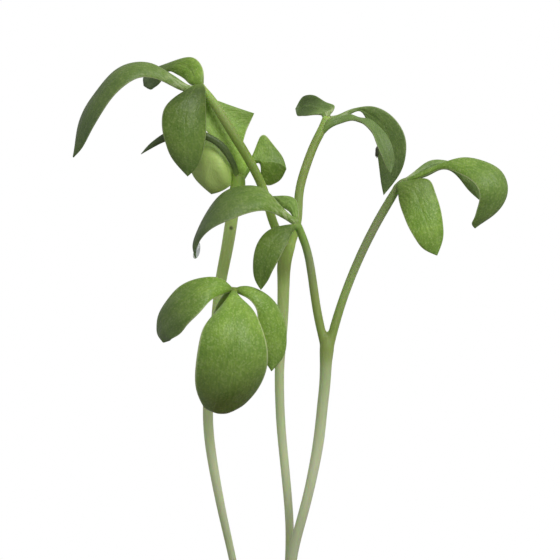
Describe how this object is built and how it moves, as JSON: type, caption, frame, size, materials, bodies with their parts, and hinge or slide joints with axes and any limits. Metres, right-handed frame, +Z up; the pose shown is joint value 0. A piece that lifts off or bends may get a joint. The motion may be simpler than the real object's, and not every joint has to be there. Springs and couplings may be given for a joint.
{
  "type": "potted cress microgreens",
  "caption": "Garden cress seedlings with long thin stems and divided oval seed leaves, standing in compost in a small round terracotta pot.",
  "frame": {"origin": "middle of the pot's foot, on the surface that it stands on", "axes": "+Z up along the pot's axis, -Y towards the front, +X to the right seen from the front"},
  "size_m": [0.05, 0.05, 0.1073],
  "materials": {
    "terracotta": "matte",
    "compost": "matte",
    "stem": "satin",
    "leaf": "satin"
  },
  "bodies": {
    "root": {"pot": "terracotta", "soil": "compost", "left_stem": "stem", "left_top_stalk": "stem", "left_front_stalk": "stem", "left_front_leaflet_1": "leaf", "left_front_leaflet_2": "leaf", "left_front_leaflet_3": "leaf", "left_top_leaflet_1": "leaf", "left_top_leaflet_2": "leaf", "left_top_leaflet_3": "leaf", "left_top_leaflet_4": "leaf", "middle_stem": "stem", "middle_left_stalk": "stem", "middle_right_stalk": "stem", "middle_left_leaflet_1": "leaf", "middle_left_leaflet_2": "leaf", "middle_left_leaflet_3": "leaf", "middle_right_leaflet_1": "leaf", "middle_right_leaflet_2": "leaf", "middle_right_leaflet_3": "leaf", "right_stem": "stem", "right_inner_stalk": "stem", "right_outer_stalk": "stem", "right_inner_leaflet_1": "leaf", "right_inner_leaflet_2": "leaf", "right_inner_leaflet_3": "leaf", "right_outer_leaflet_1": "leaf", "right_outer_leaflet_2": "leaf", "right_outer_leaflet_3": "leaf"}
  },
  "joints": []
}
